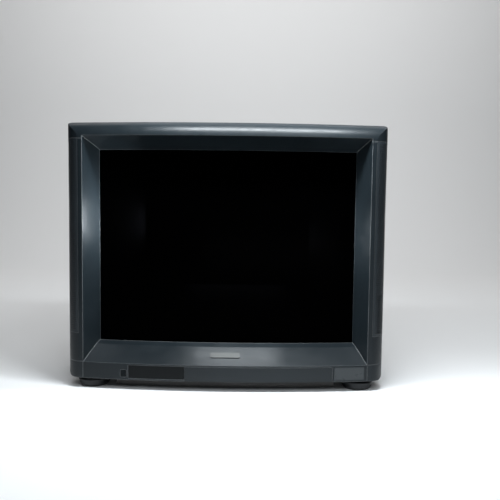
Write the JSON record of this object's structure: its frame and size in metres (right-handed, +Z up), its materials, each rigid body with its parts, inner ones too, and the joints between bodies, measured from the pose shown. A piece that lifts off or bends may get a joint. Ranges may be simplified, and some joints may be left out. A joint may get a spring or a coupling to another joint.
{
  "type": "cathode ray tube television",
  "caption": "Table-top colour television with a curved-front moulded cabinet round a cathode ray tube, flip-down control door and side speaker grilles.",
  "frame": {"origin": "on the floor, under the middle of the cabinet's width and depth", "axes": "+Z up, the screen faces -Y, +X to the right as seen from the front"},
  "size_m": [0.672, 0.52, 0.557],
  "materials": {
    "cabinet_plastic": "satin, finely grained",
    "trim_plastic": "satin, slotted",
    "door_plastic": "satin",
    "cover_plastic": "coarse spark-eroded grain",
    "plinth_plastic": "matt",
    "window_plastic": "smoked gloss",
    "button_plastic": "satin",
    "key_plastic": "satin",
    "panel_plastic": "matt",
    "badge_metal": "brushed",
    "plate_metal": "fine satin",
    "led_red": "clear red",
    "foot_rubber": "matt",
    "pin_steel": "drawn wire",
    "screw_steel": "zinc plated",
    "screen_glass": "polished, dark tint",
    "bulb_glass": "outside graphite coat",
    "gun_steel": "stamped",
    "mask_steel": "blackened",
    "band_steel": "rolled strip",
    "coil_tape": "wound tape",
    "copper_braid": "tinned copper braid",
    "yoke_copper": "varnished wire",
    "ferrite": "sintered",
    "neck_plastic": "natural",
    "ring_magnet": "bonded magnet",
    "socket_plastic": "natural",
    "board": "phenolic",
    "anode_rubber": "moulded",
    "lead_rubber": "silicone",
    "flyback_plastic": "potted",
    "knob_plastic": "moulded",
    "sink_aluminium": "extruded",
    "tuner_steel": "tinned",
    "jack_plastic": "plated sleeves",
    "component_plastic": "sleeved",
    "speaker_black": "black",
    "grommet_rubber": "moulded"
  },
  "bodies": {
    "cabinet": {"front_bezel": "cabinet_plastic", "speaker_grille_left": "trim_plastic", "speaker_grille_right": "trim_plastic", "rear_cover": "cover_plastic", "rear_cap": "cover_plastic", "base_plinth": "plinth_plastic", "sensor_window": "window_plastic", "control_panel": "panel_plastic", "badge_plate": "badge_metal", "model_plate": "plate_metal", "status_led": "led_red", "foot_front_left": "foot_rubber", "foot_front_right": "foot_rubber", "foot_rear_left": "foot_rubber", "foot_rear_right": "foot_rubber", "assembly_screws": "screw_steel", "crt_faceplate": "screen_glass", "crt_funnel": "bulb_glass", "crt_neck": "bulb_glass", "electron_gun": "gun_steel", "shadow_mask": "mask_steel", "magnetic_shield": "mask_steel", "rim_band": "band_steel", "degaussing_coil": "coil_tape", "ground_braid": "copper_braid", "yoke_coils": "yoke_copper", "yoke_core": "ferrite", "yoke_clamp": "neck_plastic", "neck_socket": "socket_plastic", "neck_board": "board", "main_board": "board", "control_board": "board", "anode_cap": "anode_rubber", "anode_lead": "lead_rubber", "flyback_transformer": "flyback_plastic", "heat_sinks": "sink_aluminium", "tuner": "tuner_steel", "front_av_jacks": "jack_plastic", "rear_av_jacks": "jack_plastic", "board_components": "component_plastic", "speaker_left": "speaker_black", "speaker_right": "speaker_black", "cord_grommet": "grommet_rubber"},
    "door": {"control_door": "door_plastic", "door_hinge_pins": "pin_steel"},
    "power_cap": {"power_button": "button_plastic"},
    "menu_key": {"menu_button": "key_plastic"},
    "input_key": {"input_button": "key_plastic"},
    "volume_down_key": {"volume_down_button": "key_plastic"},
    "volume_up_key": {"volume_up_button": "key_plastic"},
    "channel_down_key": {"channel_down_button": "key_plastic"},
    "channel_up_key": {"channel_up_button": "key_plastic"},
    "purity_ring_front_body": {"purity_ring_front": "ring_magnet"},
    "purity_ring_rear_body": {"purity_ring_rear": "ring_magnet"},
    "four_pole_ring_front_body": {"four_pole_ring_front": "ring_magnet"},
    "four_pole_ring_rear_body": {"four_pole_ring_rear": "ring_magnet"},
    "six_pole_ring_front_body": {"six_pole_ring_front": "ring_magnet"},
    "six_pole_ring_rear_body": {"six_pole_ring_rear": "ring_magnet"},
    "focus_knob_body": {"focus_knob": "knob_plastic"},
    "screen_knob_body": {"screen_knob": "knob_plastic"}
  },
  "joints": [
    {"name": "door_hinge", "type": "hinge", "parent": "cabinet", "child": "door", "pos_m": [0.07, -0.241, 0.027], "axis": [1, 0, 0], "range_deg": [0, 90]},
    {"name": "power_press", "type": "slide", "parent": "cabinet", "child": "power_cap", "axis": [0, 1, 0], "range_m": [0, 0.003], "stiffness_N_per_m": 500, "springref_m": -0.0005},
    {"name": "menu_press", "type": "slide", "parent": "cabinet", "child": "menu_key", "axis": [0, 1, 0], "range_m": [0, 0.001], "stiffness_N_per_m": 1200, "springref_m": -0.0002},
    {"name": "input_press", "type": "slide", "parent": "cabinet", "child": "input_key", "axis": [0, 1, 0], "range_m": [0, 0.001], "stiffness_N_per_m": 1200, "springref_m": -0.0002},
    {"name": "volume_down_press", "type": "slide", "parent": "cabinet", "child": "volume_down_key", "axis": [0, 1, 0], "range_m": [0, 0.001], "stiffness_N_per_m": 1200, "springref_m": -0.0002},
    {"name": "volume_up_press", "type": "slide", "parent": "cabinet", "child": "volume_up_key", "axis": [0, 1, 0], "range_m": [0, 0.001], "stiffness_N_per_m": 1200, "springref_m": -0.0002},
    {"name": "channel_down_press", "type": "slide", "parent": "cabinet", "child": "channel_down_key", "axis": [0, 1, 0], "range_m": [0, 0.001], "stiffness_N_per_m": 1200, "springref_m": -0.0002},
    {"name": "channel_up_press", "type": "slide", "parent": "cabinet", "child": "channel_up_key", "axis": [0, 1, 0], "range_m": [0, 0.001], "stiffness_N_per_m": 1200, "springref_m": -0.0002},
    {"name": "purity_ring_front_turn", "type": "hinge", "parent": "cabinet", "child": "purity_ring_front_body", "pos_m": [0, 0.1412, 0.2973], "axis": [0, 1, 0], "continuous": true},
    {"name": "purity_ring_rear_turn", "type": "hinge", "parent": "cabinet", "child": "purity_ring_rear_body", "pos_m": [0, 0.1452, 0.2973], "axis": [0, 1, 0], "continuous": true},
    {"name": "four_pole_ring_front_turn", "type": "hinge", "parent": "cabinet", "child": "four_pole_ring_front_body", "pos_m": [0, 0.1492, 0.2973], "axis": [0, 1, 0], "continuous": true},
    {"name": "four_pole_ring_rear_turn", "type": "hinge", "parent": "cabinet", "child": "four_pole_ring_rear_body", "pos_m": [0, 0.1532, 0.2973], "axis": [0, 1, 0], "continuous": true},
    {"name": "six_pole_ring_front_turn", "type": "hinge", "parent": "cabinet", "child": "six_pole_ring_front_body", "pos_m": [0, 0.1572, 0.2973], "axis": [0, 1, 0], "continuous": true},
    {"name": "six_pole_ring_rear_turn", "type": "hinge", "parent": "cabinet", "child": "six_pole_ring_rear_body", "pos_m": [0, 0.1612, 0.2973], "axis": [0, 1, 0], "continuous": true},
    {"name": "focus_turn", "type": "hinge", "parent": "cabinet", "child": "focus_knob_body", "pos_m": [-0.127, 0.18, 0.098], "axis": [0, 1, 0], "range_deg": [-135, 135]},
    {"name": "screen_turn", "type": "hinge", "parent": "cabinet", "child": "screen_knob_body", "pos_m": [-0.103, 0.18, 0.098], "axis": [0, 1, 0], "range_deg": [-135, 135]}
  ]
}
